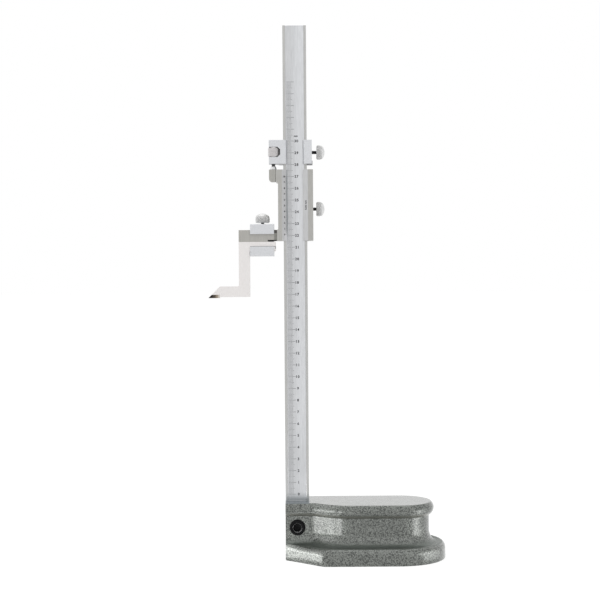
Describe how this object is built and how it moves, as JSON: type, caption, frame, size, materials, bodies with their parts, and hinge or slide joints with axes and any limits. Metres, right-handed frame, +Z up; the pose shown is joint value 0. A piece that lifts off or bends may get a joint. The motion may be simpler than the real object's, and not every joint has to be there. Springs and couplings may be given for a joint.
{
  "type": "vernier height gauge",
  "caption": "Vernier height gauge: steel beam in a waisted cast base, slider with fine adjustment, lock screws and an offset carbide-tipped scriber.",
  "frame": {"origin": "on the sole of the base, under the middle of the beam", "axes": "+Z up along the beam, +X towards the long side of the base, -Y towards the graduated face"},
  "size_m": [0.1998, 0.082, 0.451],
  "materials": {
    "hammer_paint": "grey hammer-finish enamel on cast iron",
    "beam_steel": "satin chromed ground steel",
    "black_screw": "black oxide",
    "satin_chrome": "satin chrome",
    "spring_steel": "dark spring steel",
    "dark_thread": "blued threaded steel",
    "nickel": "bright nickel, knurled",
    "rod_steel": "turned steel",
    "ground_steel": "surface-ground steel",
    "scriber_steel": "fine-ground steel",
    "carbide": "lapped hard metal"
  },
  "bodies": {
    "stand": {"base": "hammer_paint", "beam": "beam_steel", "beam_clamp_screw": "black_screw", "beam_screw_washer": "black_screw"},
    "carriage": {"fine_adjust_carriage": "satin_chrome"},
    "fine_nut": {"fine_adjust_nut": "nickel"},
    "carriage_strip": {"carriage_gib": "spring_steel"},
    "carriage_screw": {"carriage_screw_shank": "dark_thread", "carriage_screw_head": "nickel"},
    "head": {"slider": "ground_steel", "fine_adjust_rod": "rod_steel", "rod_pin": "rod_steel"},
    "head_strip": {"slider_gib": "spring_steel"},
    "head_screw": {"slider_screw_shank": "dark_thread", "slider_screw_head": "nickel"},
    "clamp_frame": {"scriber_clamp": "satin_chrome"},
    "clamp_screw": {"scriber_screw_shank": "dark_thread", "scriber_screw_head": "nickel"},
    "scriber_bar": {"scriber": "scriber_steel", "carbide_tip": "carbide"}
  },
  "joints": [
    {"name": "head_travel", "type": "slide", "parent": "stand", "child": "carriage", "axis": [0, 0, 1], "range_m": [-0.215, 0.085]},
    {"name": "nut_turn", "type": "hinge", "parent": "carriage", "child": "fine_nut", "pos_m": [-0.0183, -0.0038, 0.34375], "axis": [0, 0, 1], "range_deg": [-910, 2170]},
    {"name": "fine_feed", "type": "slide", "parent": "carriage", "child": "head", "axis": [0, 0, 1], "range_m": [-0.0042, 0.00175]},
    {"name": "carriage_strip_shift", "type": "slide", "parent": "carriage", "child": "carriage_strip", "axis": [1, 0, 0], "range_m": [0, 0.000375]},
    {"name": "carriage_screw_turn", "type": "hinge", "parent": "carriage_strip", "child": "carriage_screw", "pos_m": [0.0182, 0, 0.34375], "axis": [1, 0, 0], "range_deg": [-2, 272]},
    {"name": "head_strip_shift", "type": "slide", "parent": "head", "child": "head_strip", "axis": [1, 0, 0], "range_m": [0, 0.000375]},
    {"name": "head_screw_turn", "type": "hinge", "parent": "head_strip", "child": "head_screw", "pos_m": [0.01785, 0, 0.2956], "axis": [1, 0, 0], "range_deg": [-2, 272]},
    {"name": "clamp_screw_turn", "type": "hinge", "parent": "head", "child": "clamp_screw", "pos_m": [-0.028, 0, 0.283], "axis": [0, 0, 1], "range_deg": [-2, 542]},
    {"name": "clamp_drop", "type": "slide", "parent": "head", "child": "clamp_frame", "axis": [0, 0, 1], "range_m": [-0.00075, 0]},
    {"name": "scriber_reach", "type": "slide", "parent": "clamp_frame", "child": "scriber_bar", "axis": [-1, 0, 0], "range_m": [0, 0.012]}
  ],
  "couplings": [
    {"joint": "nut_turn", "follows": "fine_feed", "rad_per_m": -8976},
    {"joint": "carriage_screw_turn", "follows": "carriage_strip_shift", "rad_per_m": 12566},
    {"joint": "head_screw_turn", "follows": "head_strip_shift", "rad_per_m": 12566},
    {"joint": "clamp_screw_turn", "follows": "clamp_drop", "rad_per_m": -12566}
  ]
}
